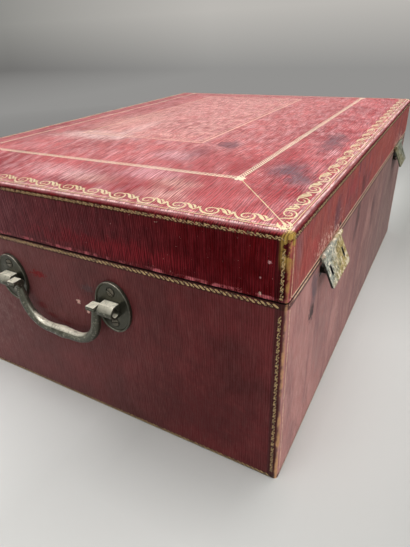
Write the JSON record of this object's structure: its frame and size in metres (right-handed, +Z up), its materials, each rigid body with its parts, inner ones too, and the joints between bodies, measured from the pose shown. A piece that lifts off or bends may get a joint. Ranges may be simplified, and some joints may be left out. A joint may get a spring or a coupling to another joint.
{
  "type": "leather-covered document box",
  "caption": "Rectangular wooden case covered in leather, with a hinged crowned lid, a drop handle on each end and slotted hasps over staples on its front.",
  "frame": {"origin": "centre of the underside of the body", "axes": "+X along the front towards the right-hand handle, +Y from the front towards the hinges, +Z up"},
  "size_m": [0.5072, 0.3758, 0.203],
  "materials": {
    "body_leather": "dull worn long-grain goatskin, dark wine red",
    "top_leather": "faded long-grain goatskin, pinkish red, with gilt tooling",
    "rim_leather": "glossier long-grain goatskin, deep crimson",
    "pine": "plain planed softwood",
    "lining": "plain green silk over paper",
    "bottom_cloth": "dark brown cloth",
    "handle_brass": "aged grey-green brass with bright worn edges",
    "screw_brass": "darkened slotted screws",
    "old_brass": "dull brass",
    "gilt_brass": "pitted brass with a pale worn gilding"
  },
  "bodies": {
    "box": {"base_board": "pine", "body_front_board": "pine", "body_back_board": "pine", "body_left_board": "pine", "body_right_board": "pine", "bottom_cover": "bottom_cloth", "body_leather": "body_leather", "body_lining": "lining", "left_hinge_body_leaf": "old_brass", "right_hinge_body_leaf": "old_brass", "left_hinge_pin": "old_brass", "right_hinge_pin": "old_brass", "hinge_body_screws": "old_brass", "left_front_handle_plate": "handle_brass", "left_back_handle_plate": "handle_brass", "right_front_handle_plate": "handle_brass", "right_back_handle_plate": "handle_brass", "left_handle_screws": "screw_brass", "right_handle_screws": "screw_brass", "left_keeper": "gilt_brass", "right_keeper": "gilt_brass", "keeper_nails": "gilt_brass"},
    "lid": {"lid_top_board": "pine", "lid_front_rail": "pine", "lid_back_rail": "pine", "lid_left_rail": "pine", "lid_right_rail": "pine", "lid_top_leather": "top_leather", "lid_rim_leather": "rim_leather", "lid_lining": "lining", "left_hinge_lid_leaf": "old_brass", "right_hinge_lid_leaf": "old_brass", "hinge_lid_screws": "old_brass", "left_hasp_leaf": "gilt_brass", "right_hasp_leaf": "gilt_brass", "left_hasp_pin": "gilt_brass", "right_hasp_pin": "gilt_brass", "hasp_leaf_nails": "gilt_brass"},
    "left_hasp": {"left_hasp_plate": "gilt_brass"},
    "right_hasp": {"right_hasp_plate": "gilt_brass"},
    "left_handle": {"left_bail": "handle_brass"},
    "right_handle": {"right_bail": "handle_brass"}
  },
  "joints": [
    {"name": "lid_hinge", "type": "hinge", "parent": "box", "child": "lid", "pos_m": [0, 0.1805, 0.1473], "axis": [-1, 0, 0], "range_deg": [0, 100]},
    {"name": "left_hasp_hinge", "type": "hinge", "parent": "lid", "child": "left_hasp", "pos_m": [-0.1565, -0.1796, 0.149], "axis": [-1, 0, 0], "range_deg": [-24, 150]},
    {"name": "right_hasp_hinge", "type": "hinge", "parent": "lid", "child": "right_hasp", "pos_m": [0.1565, -0.1796, 0.149], "axis": [-1, 0, 0], "range_deg": [-24, 150]},
    {"name": "left_handle_pivot", "type": "hinge", "parent": "box", "child": "left_handle", "pos_m": [-0.247, 0, 0.111], "axis": [0, 1, 0], "range_deg": [0, 92]},
    {"name": "right_handle_pivot", "type": "hinge", "parent": "box", "child": "right_handle", "pos_m": [0.247, 0, 0.111], "axis": [0, -1, 0], "range_deg": [0, 92]}
  ]
}
